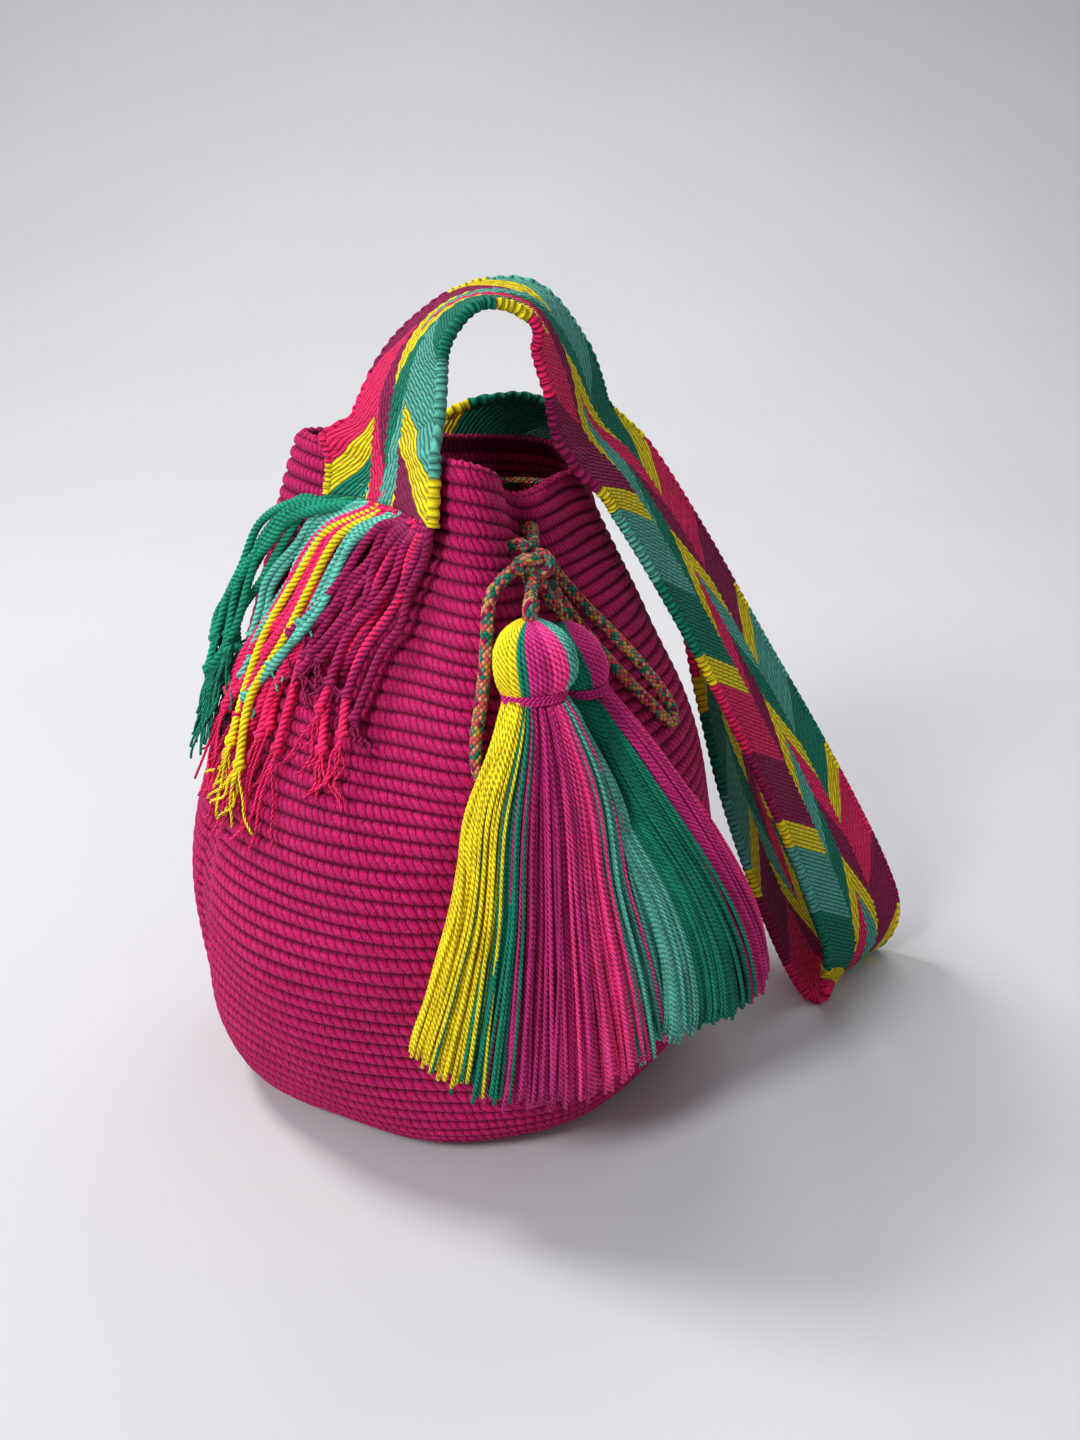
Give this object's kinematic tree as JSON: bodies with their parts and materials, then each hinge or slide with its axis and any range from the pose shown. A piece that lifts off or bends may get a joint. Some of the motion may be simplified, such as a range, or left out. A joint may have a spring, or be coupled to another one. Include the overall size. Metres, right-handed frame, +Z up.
{
  "type": "wayuu mochila bag",
  "caption": "Crocheted bucket bag with a woven shoulder strap, long twisted fringe, laced drawstring tied in a bow and two yarn tassels.",
  "frame": {"origin": "centre of the bag's flat base, on the floor", "axes": "+Z up, front of the bag with the bow and tassels faces -Y, the strap's long loop lies to +X"},
  "size_m": [0.3765, 0.2808, 0.374],
  "materials": {
    "crochet_cotton": "matt crocheted cotton in firm rope-like rows, magenta",
    "woven_strap": "matt plaited cotton band in pink, magenta, yellow, aqua and green",
    "twisted_fringe_cord": "twisted cotton cords in green, aqua, yellow, pink and magenta",
    "braided_drawstring": "round braid of coral, yellow, green and magenta yarn",
    "tassel_yarn": "long cut yarn in yellow, green, magenta, pink and aqua",
    "binding_thread": "wound magenta thread"
  },
  "bodies": {
    "bag": {"bag_body": "crochet_cotton", "strap": "woven_strap", "strap_fringe": "twisted_fringe_cord", "drawstring_lacing": "braided_drawstring", "drawstring_knot": "braided_drawstring", "drawstring_loop_left": "braided_drawstring", "drawstring_loop_right": "braided_drawstring"},
    "front_tassel": {"drawstring_end_front": "braided_drawstring", "tassel_front": "tassel_yarn", "tassel_front_binding": "binding_thread"},
    "side_tassel": {"drawstring_end_side": "braided_drawstring", "tassel_side": "tassel_yarn", "tassel_side_binding": "binding_thread"}
  },
  "joints": [
    {"name": "front_tassel_swing", "type": "hinge", "parent": "bag", "child": "front_tassel", "pos_m": [0.0404, -0.0793, 0.2685], "axis": [-0.9426, -0.3338, 0], "range_deg": [0, 60]},
    {"name": "side_tassel_swing", "type": "hinge", "parent": "bag", "child": "side_tassel", "pos_m": [0.0404, -0.0793, 0.2685], "axis": [-0.5446, -0.8387, 0], "range_deg": [0, 55]}
  ]
}
